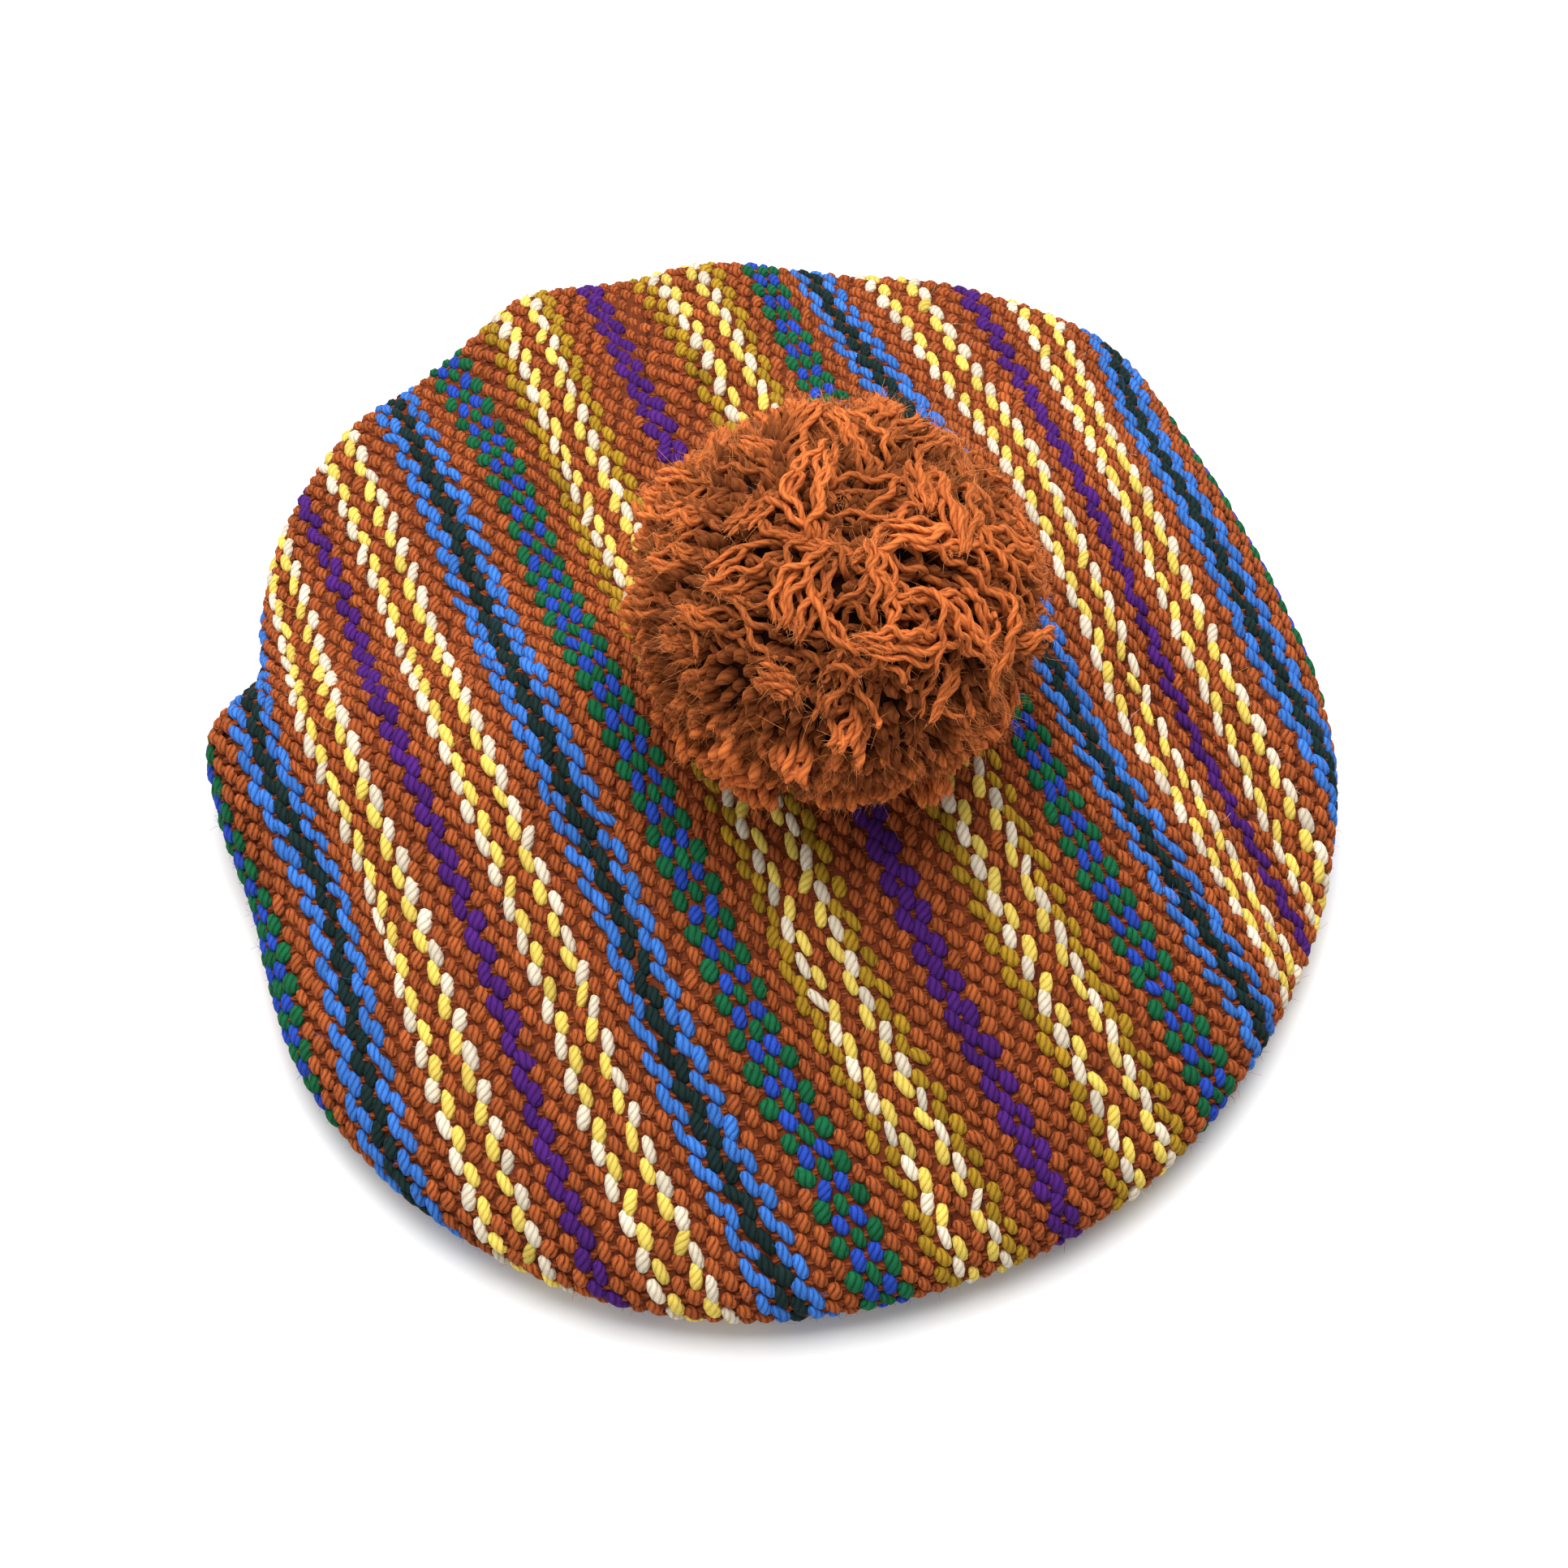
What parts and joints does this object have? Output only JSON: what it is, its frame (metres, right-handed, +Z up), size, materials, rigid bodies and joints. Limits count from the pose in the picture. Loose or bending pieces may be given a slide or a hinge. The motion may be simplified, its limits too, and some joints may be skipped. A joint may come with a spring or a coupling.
{
  "type": "pom-pom beret",
  "caption": "Soft hand-woven beret with a striped, wavy, domed crown, a rolled rim, a plain headband under it and a large yarn pompom on top.",
  "frame": {"origin": "on the table under the middle of the rim's box", "axes": "+Z up through the crown, -Y towards the front, +X to the wearer's left as the hat lies in the picture"},
  "size_m": [0.284, 0.2892, 0.1346],
  "materials": {
    "striped_wool_cloth": "thick warp-faced wool weave, rust ground with white, yellow, olive, green, blue, black and purple stripes, soft and matt",
    "under_wool_cloth": "plain rust warp-faced wool weave, soft and matt",
    "band_wool_cloth": "plain rust ribbed wool band, soft and matt",
    "pompom_yarn": "rust two-ply wool yarn, kinked and fuzzy"
  },
  "bodies": {
    "root": {"crown_top": "striped_wool_cloth", "crown_under": "under_wool_cloth", "headband": "band_wool_cloth", "pompom": "pompom_yarn"}
  },
  "joints": []
}
